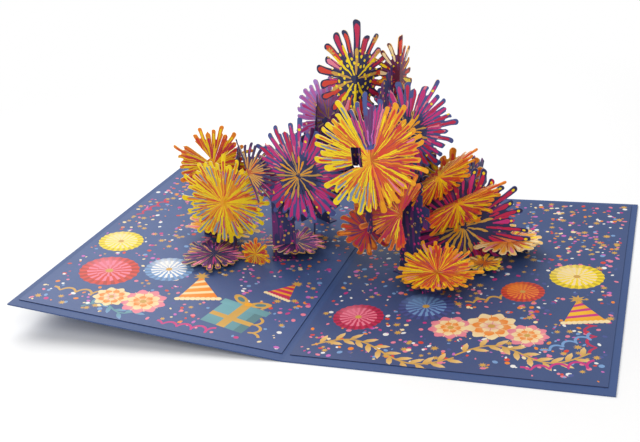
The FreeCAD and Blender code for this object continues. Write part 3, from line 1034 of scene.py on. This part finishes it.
    def confetti(self, count: int, clear: Sequence[tuple[float, float, float]]) -> None:
        """Dots and stars scattered by a seeded draw, kept off the given circles."""
        draw = np.random.default_rng(self.seed)
        inks = [Ink.PINK, Ink.SKY, Ink.CREAM, Ink.WHITE, Ink.ORANGE, Ink.MAGENTA, Ink.PINK,
                Ink.INDIGO, Ink.LILAC, Ink.RED]
        left, right = self.edges()
        front, back = -PAGE_HEIGHT / 2 + BORDER_FRONT + 2, PAGE_HEIGHT / 2 - BORDER_BACK - 2
        for _ in range(count):
            x, y = draw.uniform(left + 2, right - 2), draw.uniform(front, back)
            size = draw.uniform(0.45, 1.35)
            pick = draw.integers(len(inks))
            turn = draw.uniform(0, 3)
            if any((x - cx) ** 2 + (y - cy) ** 2 < r * r for cx, cy, r in clear):
                continue
            if draw.random() < 0.16:
                self.star(x, y, size * 1.5)
            else:
                self.dot(x, y, size, inks[pick].value, 7, draw.uniform(0.55, 1.0), turn)

    def edges(self) -> tuple[float, float]:
        """Lowest and highest local x of the insert."""
        near, far = self.side * GUTTER, self.side * (PAGE_WIDTH - BORDER_SIDE)
        return min(near, far), max(near, far)

    def build(self, material: bpy.types.Material, edge: bpy.types.Material) -> None:
        """Triangulates the print into the top face and closes the sheet below it."""
        self.motifs(self)
        left, right = self.edges()
        front, back = -PAGE_HEIGHT / 2 + BORDER_FRONT, PAGE_HEIGHT / 2 - BORDER_BACK
        sheet = np.array([[left, front], [right, front], [right, back], [left, back]])
        shapes = [Shape(sheet, self.ground, self.ground)] + self.shapes
        margin = 0.05
        for shape in shapes[1:]:
            np.clip(shape.outline, sheet[0] + margin, sheet[2] - margin, out=shape.outline)
        corners = np.concatenate([shape.outline for shape in shapes])
        faces, start = [], 0
        for shape in shapes:
            faces.append(list(range(start, start + len(shape.outline))))
            start += len(shape.outline)
        flat, _, triangles, _, _, owners = delaunay_2d_cdt(
            [Vector(c) for c in corners.tolist()], [], faces, 1, 1e-4, True)
        points = np.array([v[:] for v in flat])
        triangles = np.array(triangles)
        top = np.array([max(ids) if ids else 0 for ids in owners])
        self._mesh(points, triangles, self._colors(points, triangles, top, shapes), material,
                   edge)

    @staticmethod
    def _colors(points: np.ndarray, triangles: np.ndarray, top: np.ndarray,
                shapes: Sequence[Shape]) -> np.ndarray:
        """Corner colours: each shape's ink fades to its light ink towards its spot."""
        ink = np.array([shape.color for shape in shapes])[top][:, None, :]
        light = np.array([shape.light for shape in shapes])[top][:, None, :]
        spot = np.array([shape.spot for shape in shapes])[top][:, None, :]
        reach = np.array([shape.reach for shape in shapes])[top][:, None]
        away = np.linalg.norm(points[triangles] - spot, axis=2) / reach
        share = np.clip(1 - away, 0, 1)[:, :, None] ** 1.4
        return ink * (1 - share) + light * share

    def _mesh(self, points: np.ndarray, triangles: np.ndarray, colors: np.ndarray,
              material: bpy.types.Material, edge: bpy.types.Material) -> None:
        """Closed slab: the printed top, the same triangles below, and walls between."""
        count = len(points)
        upper = self.page.points(np.column_stack([points, np.zeros(count)]))
        lower = self.page.points(np.column_stack([points, np.full(count, -INSERT_CARD)]))
        sides = np.concatenate([triangles[:, [0, 1]], triangles[:, [1, 2]], triangles[:, [2, 0]]])
        met = np.isin(sides @ [count, 1], sides @ [1, count])
        near, far = sides[~met].T
        walls = np.stack([far, near, near + count, far + count], -1).tolist()
        mesh = bpy.data.meshes.new(self.name)
        below = (triangles[:, ::-1] + count).tolist()
        mesh.from_pydata((np.concatenate([upper, lower]) * MM).tolist(), [],
                         triangles.tolist() + below + walls)
        mesh.materials.append(material)
        mesh.materials.append(edge)
        index = np.ones(len(mesh.polygons), np.int32)
        index[:len(triangles)] = 0
        mesh.polygons.foreach_set("material_index", index)
        layer = mesh.color_attributes.new("Print", "FLOAT_COLOR", "CORNER")
        data = np.ones((len(mesh.loops), 4), np.float32)
        data[:len(triangles) * 3, :3] = colors.reshape(-1, 3)
        layer.data.foreach_set("color", data.reshape(-1))
        mesh.validate()
        piece = bpy.data.objects.new("dressed_" + self.name, mesh)
        bpy.context.scene.collection.objects.link(piece)
        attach(piece, "root")
        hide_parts(self.name)
        LOG.info("insert %s: %d triangles", self.name, len(triangles))


def left_motifs(sheet: PrintedInsert) -> None:
    """Pleated fans, party hats, a wrapped box and streamers of the left page."""
    clear = [(-101, -47, 15), (-111, -18, 12), (-75, -33, 11), (-50, -46, 12), (-30, -66, 14),
             (-73, -69, 12), (-24, -38, 9), (-88, -66, 9)]
    sheet.confetti(1200, clear)
    sheet.streamer(-116, -70, 30, 0.1, Ink.GOLD.value)
    sheet.streamer(-60, -80, 26, 0.05, Ink.MAGENTA.value)
    sheet.streamer(-22, -52, 26, -1.4, Ink.GOLD.value)
    sheet.streamer(-118, 12, 24, 1.3, Ink.CRIMSON.value)
    sheet.garland(curve(-96, -80, 26, 0.25, 4), 6.0, Ink.TEAL.value, Ink.SKY.value)
    sheet.fan(-101, -47, 14, Ink.RED.value, Ink.PINK.value)
    sheet.fan(-111, -18, 11, Ink.YELLOW.value, Ink.CREAM.value)
    sheet.fan(-76, -36, 11.5, Ink.SKY.value, Ink.WHITE.value)
    peach = (Ink.PINK.value, Ink.CREAM.value, Ink.ORANGE.value, Ink.CREAM.value)
    sheet.rosette(-73, -67, 9.5, peach)
    sheet.rosette(-88, -68, 7.5, peach[1:] + peach[:1])
    sheet.cone(-52, -56, 20, 0.35, Ink.ORANGE.value, Ink.CREAM.value)
    sheet.gift(-31, -64, 21, -0.2, Ink.TEAL.value, Ink.GOLD.value)
    sheet.cone(-20, -42, 14, -0.3, Ink.CRIMSON.value, Ink.AMBER.value)


def right_motifs(sheet: PrintedInsert) -> None:
    """Pleated fans, a hat, rosettes, a gilt sprig and streamers of the right page."""
    clear = [(46, -36, 13), (20, -48, 12), (104, 0, 13), (84, -15, 11), (62, -50, 10),
             (77, -47, 11), (90, -52, 9), (110, -30, 11)]
    sheet.confetti(1500, clear)
    gold = Ink.GOLD.value, Ink.PALE_GOLD.value
    sheet.garland(curve(8, -76, 58, 0.02, 7), 7.0, *gold)
    sheet.garland(curve(66, -73, 50, 0.22, 7), 7.0, *gold)
    sheet.streamer(92, -78, 28, 0.3, Ink.MAGENTA.value)
    sheet.streamer(117, -62, 34, 1.7, Ink.CRIMSON.value)
    sheet.streamer(62, -30, 24, 0.5, Ink.GOLD.value)
    sheet.streamer(98, -64, 24, 0.7, Ink.SKY.value)
    sheet.fan(46, -36, 12, Ink.INDIGO.value, Ink.SKY.value)
    sheet.fan(20, -50, 11, Ink.CRIMSON.value, Ink.PINK.value)
    sheet.fan(105, 2, 12, Ink.YELLOW.value, Ink.CREAM.value)
    sheet.fan(84, -16, 9.5, Ink.RED.value, Ink.ORANGE.value)
    peach = (Ink.PINK.value, Ink.CREAM.value, Ink.ORANGE.value, Ink.CREAM.value)
    sheet.rosette(60, -52, 8.5, peach)
    sheet.rosette(76, -48, 10, peach[1:] + peach[:1])
    sheet.rosette(91, -53, 8, peach)
    sheet.cone(112, -38, 19, 0.25, Ink.AMBER.value, Ink.MAGENTA.value)


def curve(x: float, y: float, length: float, rise: float, bend: float) -> np.ndarray:
    """A path that rises by a slope and swings by one sine wave of this height."""
    share = np.linspace(0, 1, max(8, int(length / 2.6)))
    return np.stack([x + share * length,
                     y + rise * share * length + bend * np.sin(share * 2 * math.pi)], -1)


CUT_EDGE = PaperFinish("cut_edge", Ink.PAPER_CORE.value, 0.7)
PLAIN_EDGE = PaperFinish("insert_edge", Ink.DUSK.value, 0.7)
COVER = PaperFinish("cover_card", Ink.COVER_BLUE.value, 0.55, 0.08)
STARRY = StarryFinish("navy_sheet", Ink.NAVY.value, Ink.VIOLET.value, Ink.GOLD.value,
                      Ink.MAGENTA.value)
PAGE_PRINT = PagePrint("page_print")

YELLOW_PRINT = BurstPrint(
    "yellow_print", Ink.YELLOW, Ink.AMBER, Ink.YELLOW,
    (Strokes(88, (0.02, 0.16), (0.42, 0.72), 0.013,
             (Ink.RED, Ink.YELLOW, Ink.AMBER, Ink.YELLOW, Ink.ORANGE)),
     Strokes(66, (0.25, 0.5), (0.6, 0.85), 0.015,
             (Ink.ORANGE, Ink.YELLOW, Ink.RED, Ink.STEEL, Ink.MAGENTA), 0.85),
     Strokes(0, (0.5, 0.72), (0.84, 0.96), 0.026,
             (Ink.STEEL, Ink.ORANGE, Ink.RED, Ink.STEEL), 0.75)), heart_reach=0.16, gap=Ink.RUST)
AMBER_PRINT = BurstPrint(
    "amber_print", Ink.AMBER, Ink.RUST, Ink.AMBER,
    (Strokes(88, (0.02, 0.16), (0.42, 0.72), 0.013,
             (Ink.RED, Ink.ORANGE, Ink.CRIMSON, Ink.YELLOW, Ink.RED)),
     Strokes(66, (0.25, 0.5), (0.6, 0.85), 0.015,
             (Ink.ORANGE, Ink.CRIMSON, Ink.RED, Ink.YELLOW), 0.85),
     Strokes(0, (0.5, 0.72), (0.84, 0.96), 0.03,
             (Ink.PINK, Ink.RED, Ink.RED, Ink.YELLOW), 0.85)), heart_reach=0.16, gap=Ink.RUST)
# Drooping leaves of the crown, printed over the top of the sheet in front of it
LEAVES = Overprint(0.062, Ink.INDIGO, (
    Strokes(110, (0.12, 0.3), (0.5, 0.9), 0.016, (Ink.VIOLET, Ink.STEEL, Ink.LILAC, Ink.NAVY)),
    Strokes(90, (0.14, 0.5), (0.6, 0.97), 0.018,
            (Ink.GOLD, Ink.PINK, Ink.VIOLET, Ink.MAGENTA), 0.85)))
YELLOW_UNDER_CROWN = replace(YELLOW_PRINT, name="yellow_crowned_print", above=LEAVES)
# Right half of the middle burst: its strokes are print, and its amber ground, darker than the yellow
# half, paints part of the shade on the half turned from the light
AMBER_AND_SHADE_UNDER_CROWN = replace(AMBER_PRINT, name="amber_crowned_print", above=LEAVES)
ORANGE_PRINT = BurstPrint(
    "orange_print", Ink.ORANGE, Ink.AMBER, Ink.AMBER,
    (Strokes(88, (0.02, 0.16), (0.42, 0.7), 0.013,
             (Ink.RED, Ink.YELLOW, Ink.AMBER, Ink.YELLOW, Ink.CRIMSON)),
     Strokes(66, (0.22, 0.5), (0.6, 0.85), 0.015,
             (Ink.YELLOW, Ink.CRIMSON, Ink.RED, Ink.AMBER), 0.9),
     Strokes(0, (0.45, 0.7), (0.84, 0.96), 0.03,
             (Ink.RED, Ink.YELLOW, Ink.RED, Ink.CRIMSON), 0.9)), gap=Ink.RUST)
BURNT_PRINT = BurstPrint(
    "burnt_print", Ink.BURNT, Ink.RUST, Ink.ORANGE,
    (Strokes(88, (0.02, 0.16), (0.42, 0.7), 0.013,
             (Ink.RED, Ink.CRIMSON, Ink.RUST, Ink.YELLOW, Ink.CRIMSON)),
     Strokes(66, (0.22, 0.5), (0.6, 0.85), 0.015, (Ink.RED, Ink.CRIMSON, Ink.RUST, Ink.AMBER), 0.9),
     Strokes(0, (0.45, 0.7), (0.84, 0.96), 0.032,
             (Ink.RED, Ink.AMBER, Ink.CRIMSON, Ink.RUST), 0.9)), gap=Ink.VIOLET)
MAGENTA_PRINT = BurstPrint(
    "magenta_print", Ink.INDIGO, Ink.NAVY, Ink.INDIGO,
    (Strokes(44, (0.2, 0.4), (0.5, 0.75), 0.025,
             (Ink.MAGENTA, Ink.CRIMSON, Ink.MAGENTA, Ink.MAGENTA)),
     Strokes(34, (0.35, 0.5), (0.66, 0.86), 0.026,
             (Ink.PINK, Ink.CRIMSON, Ink.MAGENTA, Ink.PINK), 0.9),
     Strokes(0, (0.5, 0.66), (0.88, 0.97), 0.04, (Ink.MAGENTA, Ink.CRIMSON, Ink.MAGENTA), 0.95),
     Strokes(22, (0.02, 0.06), (0.25, 0.52), 0.02, (Ink.GOLD, Ink.AMBER, Ink.GOLD), 0.75)),
    (Dots(18, (0.6, 0.78), 0.022, Ink.YELLOW, share=0.45),), heart_reach=0.35)
CRIMSON_TIPPED_PRINT = BurstPrint(
    "crimson_tipped_print", Ink.NAVY, Ink.NAVY, Ink.INDIGO,
    (Strokes(42, (0.2, 0.4), (0.5, 0.75), 0.022, (Ink.CRIMSON, Ink.VIOLET, Ink.CRIMSON)),
     Strokes(34, (0.35, 0.5), (0.66, 0.84), 0.022, (Ink.MAGENTA, Ink.CRIMSON, Ink.CRIMSON), 0.85),
     Strokes(0, (0.4, 0.6), (0.88, 0.94), 0.042, (Ink.CRIMSON, Ink.CRIMSON, Ink.MAGENTA)),
     Strokes(24, (0.02, 0.06), (0.25, 0.52), 0.022, (Ink.GOLD, Ink.AMBER, Ink.GOLD), 0.75)),
    (Dots(0, (0.93,), 0.026, Ink.YELLOW, share=0.9),
     Dots(16, (0.5, 0.66), 0.014, Ink.GOLD, share=0.5)), heart_reach=0.35)
LILAC_PRINT = BurstPrint(
    "lilac_print", Ink.PALE_LILAC, Ink.HEATHER, Ink.LAVENDER,
    (Strokes(40, (0.2, 0.4), (0.5, 0.75), 0.022, (Ink.LILAC, Ink.MAGENTA, Ink.PINK, Ink.PINK)),
     Strokes(0, (0.45, 0.66), (0.88, 0.97), 0.036, (Ink.LILAC, Ink.MAGENTA, Ink.LILAC), 0.95),
     Strokes(22, (0.02, 0.06), (0.25, 0.52), 0.02, (Ink.GOLD, Ink.CREAM, Ink.GOLD), 0.75)),
    (Dots(18, (0.62, 0.8), 0.024, Ink.CREAM, share=0.45),), heart_reach=0.3)
CRIMSON_PRINT = BurstPrint(
    "crimson_print", Ink.NAVY, Ink.NAVY, Ink.NAVY,
    (Strokes(28, (0.3, 0.45), (0.55, 0.75), 0.026, (Ink.RED, Ink.VIOLET, Ink.MAGENTA)),
     Strokes(0, (0.4, 0.55), (0.92, 0.98), 0.045, (Ink.RED, Ink.RED, Ink.PINK, Ink.CRIMSON)),
     Strokes(12, (0.05, 0.1), (0.5, 0.72), 0.036, (Ink.GOLD, Ink.YELLOW, Ink.GOLD), 0.7)),
    (Dots(20, (0.24, 0.36, 0.48), 0.026, Ink.YELLOW, share=0.85),
     Dots(9, (0.62, 0.78), 0.1, Ink.GOLD, True, 0.5)), heart_reach=0.5)
SPIKED_PRINT = BurstPrint(
    "spiked_print", Ink.WINE, Ink.DARK_WINE, Ink.AMBER,
    (Strokes(28, (0.1, 0.3), (0.5, 0.75), 0.026, (Ink.CRIMSON, Ink.VIOLET, Ink.RED)),
     Strokes(0, (0.3, 0.5), (0.86, 0.98), 0.045, (Ink.YELLOW, Ink.CREAM, Ink.AMBER, Ink.RED))),
    (Dots(14, (0.3, 0.5), 0.024, Ink.YELLOW, share=0.6),), heart_reach=0.4)
VIOLET_PRINT = BurstPrint(
    "violet_print", Ink.VIOLET, Ink.NAVY, Ink.GOLD,
    (Strokes(48, (0.08, 0.25), (0.5, 0.8), 0.018, (Ink.GOLD, Ink.NAVY, Ink.MAGENTA, Ink.NAVY)),
     Strokes(36, (0.3, 0.5), (0.7, 0.9), 0.02, (Ink.PINK, Ink.VIOLET, Ink.NAVY, Ink.LILAC), 0.9),
     Strokes(0, (0.5, 0.7), (0.86, 0.97), 0.034,
             (Ink.GOLD, Ink.PINK, Ink.VIOLET, Ink.NAVY), 0.9)), gap=Ink.NAVY)
FAN_PRINT = BurstPrint(
    "fan_print", Ink.PLUM, Ink.RUST, Ink.DARK_PLUM,
    (Strokes(40, (0.04, 0.15), (0.4, 0.7), 0.02, (Ink.GOLD, Ink.ORANGE, Ink.NAVY, Ink.GOLD)),
     Strokes(0, (0.4, 0.6), (0.8, 0.95), 0.02,
             (Ink.GOLD, Ink.MAGENTA, Ink.NAVY), 0.9)), gap=Ink.NAVY)
PEACH_PRINT = BurstPrint(
    "peach_print", Ink.PEACH, Ink.ORANGE, Ink.CREAM,
    (Strokes(48, (0.08, 0.25), (0.5, 0.8), 0.02, (Ink.RED, Ink.ORANGE, Ink.AMBER, Ink.RUST)),
     Strokes(0, (0.4, 0.6), (0.86, 0.97), 0.034,
             (Ink.CREAM, Ink.PINK, Ink.AMBER, Ink.YELLOW), 0.9)), gap=Ink.RUST)
GOLD_PRINT = BurstPrint(
    "gold_print", Ink.STRAW, Ink.RUST, Ink.YELLOW,
    (Strokes(30, (0.08, 0.25), (0.5, 0.8), 0.034, (Ink.NAVY, Ink.ORANGE, Ink.RUST)),
     Strokes(0, (0.4, 0.6), (0.86, 0.97), 0.03,
             (Ink.YELLOW, Ink.CREAM, Ink.AMBER), 0.9)), gap=Ink.NAVY)
RUSSET_PRINT = BurstPrint(
    "russet_print", Ink.RUST, Ink.CRIMSON, Ink.ORANGE,
    (Strokes(48, (0.08, 0.25), (0.5, 0.8), 0.022, (Ink.CRIMSON, Ink.RED, Ink.RUST, Ink.VIOLET)),
     Strokes(0, (0.4, 0.6), (0.86, 0.97), 0.036,
             (Ink.ORANGE, Ink.RED, Ink.CRIMSON), 0.9)), gap=Ink.VIOLET)
PRINTS = (YELLOW_PRINT, YELLOW_UNDER_CROWN, AMBER_PRINT, AMBER_AND_SHADE_UNDER_CROWN, ORANGE_PRINT,
          BURNT_PRINT, MAGENTA_PRINT, CRIMSON_TIPPED_PRINT, LILAC_PRINT, CRIMSON_PRINT,
          SPIKED_PRINT, VIOLET_PRINT, FAN_PRINT, PEACH_PRINT, GOLD_PRINT, RUSSET_PRINT)


def left_bursts() -> list[Burst]:
    """Bursts carried by the left page."""
    return [
        Burst("yellow_burst_left", LEFT, (-57.5, -14, 27.7), 24.5, YELLOW_PRINT, facing=12,
              fold=18, rays=38),
        Burst("orange_burst_left", LEFT, (-74, 11, 35), 22.5, ORANGE_PRINT, facing=10, lean=-5,
              roll=-40, fold=8, rays=34, opening=(-1.1, 1.1, 3.5, 23.0)),
        Burst("violet_fan_burst", LEFT, (-45.3, -14, 44.4), 17, FAN_PRINT, facing=-20, lean=10,
              roll=-35, fold=55, core=0.5, rays=30),
        Burst("magenta_burst_left", LEFT, (-22.5, -9, 44.5), 28, MAGENTA_PRINT, fold=8, rays=34),
        Burst("lilac_burst_top", LEFT, (-17, 16, 64), 21.5, LILAC_PRINT, facing=-5, fold=8, rays=30),
        Burst("crimson_burst_crown", LEFT, (0.5, -1, 90.5), 26, CRIMSON_PRINT, facing=22,
              fold=43, rays=20, core=0.6),
        Burst("violet_burst_low_left", LEFT, (-61, -19, 2.6), 17.5, VIOLET_PRINT, lean=90,
              rays=22, curl=0.0),
        Burst("orange_burst_small", LEFT, (-40.5, -17, 5.5), 8.5, ORANGE_PRINT, rays=16),
        Burst("violet_burst_low_centre", LEFT, (-27, 1, 6), 17, VIOLET_PRINT, lean=90, rays=20),
        Burst("peach_burst_low_left", LEFT, (-64, -3, 9.5), 21, PEACH_PRINT, lean=90, rays=22,
              straight_edge=7.0),
        Burst("magenta_burst_back_left", LEFT, (-34, 35, 30), 23, MAGENTA_PRINT, facing=160,
              fold=15, rays=20),
    ]


def right_bursts() -> list[Burst]:
    """Bursts carried by the right page."""
    return [
        # Its right half takes the darker amber print, partly painted shade on the half turned from
        # the light
        Burst("yellow_burst_centre", RIGHT, (22, -24, 61), 30, YELLOW_UNDER_CROWN, facing=15,
              roll=-2, fold=25, rays=42, right_style=AMBER_AND_SHADE_UNDER_CROWN,
              opening=(-9.0, -4.0, -3.5, 5.5)),
        Burst("crimson_burst_behind_crown", RIGHT, (27, 11, 88), 18, SPIKED_PRINT, facing=35,
              roll=6, fold=50, rays=16, core=0.55),
        Burst("magenta_burst_top_right", RIGHT, (30, 8, 63), 27, MAGENTA_PRINT, facing=30,
              roll=36, fold=10, rays=34),
        Burst("orange_burst_upper_right", RIGHT, (46, -3, 46.5), 21, ORANGE_PRINT, facing=8,
              lean=30, roll=53, fold=70, rays=34),
        Burst("orange_burst_lower_right", RIGHT, (53.5, -1, 33.5), 23.5, ORANGE_PRINT, facing=7,
              lean=36, roll=64, fold=70, rays=34),
        Burst("magenta_burst_right", RIGHT, (53, 14, 16), 34, CRIMSON_TIPPED_PRINT, facing=12,
              core=0.66, rays=34),
        Burst("yellow_burst_low_right", RIGHT, (47, -17, 6.7), 20.5, AMBER_PRINT, facing=10,
              lean=77, roll=90, fold=-13, rays=38),
        Burst("orange_burst_centre_right", RIGHT, (31, -15, 33), 22, BURNT_PRINT, facing=20,
              roll=6, fold=20, rays=34, opening=(1.0, 11.0, -5.5, 1.5)),
        Burst("peach_burst_low_right", RIGHT, (72, 20, 7.5), 18, PEACH_PRINT, lean=90, rays=20),
        Burst("gold_burst_low_right", RIGHT, (64, 1, 4), 10, GOLD_PRINT, lean=90, rays=14),
        Burst("russet_burst_centre", RIGHT, (13, -7, 21), 15, RUSSET_PRINT, facing=20, fold=15,
              rays=18),
        Burst("yellow_burst_back_centre", RIGHT, (16, 43, 44), 25, YELLOW_PRINT, facing=185,
              fold=20, rays=20),
        Burst("orange_burst_back_right", RIGHT, (44, 35, 26), 21, ORANGE_PRINT, facing=200,
              fold=15, rays=20),
    ]


class Studio:
    """Plain floor, soft lights and the camera of the photograph."""

    def build(self) -> None:
        """Makes the floor, the lights, the world and the camera."""
        self._floor()
        self._light("key", (-0.5, 0.35, 0.85), 0.9, 9.0)
        self._light("front", (0.35, -0.9, 0.8), 0.9, 6.5)
        self._world()
        self._camera()

    def _floor(self) -> None:
        """A pale floor that takes the shadow and fades to plain white far away."""
        mesh = bpy.data.meshes.new("floor")
        corners = [(x * FLOOR_REACH, y * FLOOR_REACH, 0.0)
                   for x, y in ((-1, -1), (1, -1), (1, 1), (-1, 1))]
        mesh.from_pydata(corners, [], [(0, 1, 2, 3)])
        floor = bpy.data.objects.new("floor", mesh)
        bpy.context.scene.collection.objects.link(floor)
        shader = Shader("floor")
        x, y, _ = shader.split(shader.place())
        away = (x * x + y * y).root().step(*FLOOR_FADE)
        shader.finish((0.88, 0.88, 0.88), 0.9)
        white = shader.tree.nodes.new("ShaderNodeEmission")
        blend = shader.tree.nodes.new("ShaderNodeMixShader")
        shader.tree.links.new(away.socket, blend.inputs[0])
        shader.tree.links.new(shader.surface.outputs[0], blend.inputs[1])
        shader.tree.links.new(white.outputs[0], blend.inputs[2])
        shader.tree.links.new(blend.outputs[0], shader.output.inputs["Surface"])
        mesh.materials.append(shader.material)

    def _light(self, name: str, place: tuple[float, float, float], size: float,
               power: float) -> None:
        """A square area lamp that points at the card."""
        lamp = bpy.data.lights.new(name, "AREA")
        lamp.size, lamp.energy = size, power
        holder = bpy.data.objects.new(name, lamp)
        holder.location = place
        holder.rotation_euler = (Vector((0, 0, 0.03)) - Vector(place)).to_track_quat(
            "-Z", "Y").to_euler()
        bpy.context.scene.collection.objects.link(holder)

    def _world(self) -> None:
        """White surroundings: plain white for the camera, softer as light."""
        world = bpy.data.worlds.new("studio")
        bpy.context.scene.world = world
        world.use_nodes = True
        tree = world.node_tree
        tree.nodes.clear()
        output = tree.nodes.new("ShaderNodeOutputWorld")
        background = tree.nodes.new("ShaderNodeBackground")
        path = tree.nodes.new("ShaderNodeLightPath")
        strength = tree.nodes.new("ShaderNodeMapRange")
        strength.inputs["To Min"].default_value = SKY_LIGHT
        strength.inputs["To Max"].default_value = 1.0
        tree.links.new(path.outputs["Is Camera Ray"], strength.inputs["Value"])
        tree.links.new(strength.outputs[0], background.inputs["Strength"])
        tree.links.new(background.outputs[0], output.inputs["Surface"])

    def _camera(self) -> None:
        """Camera of the photograph: right, up and back axes from its three angles."""
        yaw, pitch, roll = (math.radians(a) for a in (CAMERA_YAW, CAMERA_PITCH, CAMERA_ROLL))
        ahead = np.array([-math.sin(yaw) * math.cos(pitch), math.cos(yaw) * math.cos(pitch),
                          -math.sin(pitch)])
        level = np.array([math.cos(yaw), math.sin(yaw), 0.0])
        up = np.cross(level, ahead)
        right = math.cos(roll) * level + math.sin(roll) * up
        above = -math.sin(roll) * level + math.cos(roll) * up
        camera = bpy.data.objects.new("camera", bpy.data.cameras.new("camera"))
        matrix = np.eye(4)
        matrix[:3, 0], matrix[:3, 1], matrix[:3, 2] = right, above, -ahead
        matrix[:3, 3] = np.array(CAMERA_PLACE) * MM
        camera.matrix_world = Matrix(matrix.tolist())
        camera.data.sensor_width = SENSOR_WIDTH
        camera.data.lens = CAMERA_FOCAL / IMAGE_WIDTH * SENSOR_WIDTH
        camera.data.clip_start = 0.01
        bpy.context.scene.collection.objects.link(camera)
        bpy.context.scene.camera = camera


def dress_solids() -> None:
    """Gives the nodes that stay as they are their papers."""
    cover, starry = COVER.build(), STARRY.build()
    for name, node in frame["nodes"].items():
        if name == "cover":
            node.data.materials.clear()
            node.data.materials.append(cover)
        elif name.startswith(("rib", "cross_fold", "riser")):
            node.data.materials.clear()
            node.data.materials.append(starry)


def main() -> None:
    """Builds the card, its pop-up and the studio."""
    logging.basicConfig(level=logging.INFO)
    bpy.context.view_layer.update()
    bpy.context.scene.view_settings.view_transform = "Standard"
    dress_solids()
    edge, plain = CUT_EDGE.build(), PLAIN_EDGE.build()
    prints = {style.name: style.build() for style in PRINTS}
    page_print = PAGE_PRINT.build()
    # The left insert's ground is the lighter slate: painted sheen of light on its tilted page
    inserts = (PrintedInsert("insert_left", LEFT, -1, 11, left_motifs, Ink.LIT_SLATE.value),
               PrintedInsert("insert_right", RIGHT, 1, 12, right_motifs))
    for insert in inserts:
        insert.build(page_print, plain)
    slots = {part["node"]: part["material_slot"] for part in frame["record"]["subparts"]}
    for burst in left_bursts() + right_bursts():
        burst.build(edge, prints, slots[burst.name])
    Studio().build()


if __name__ == "__main__":
    main()
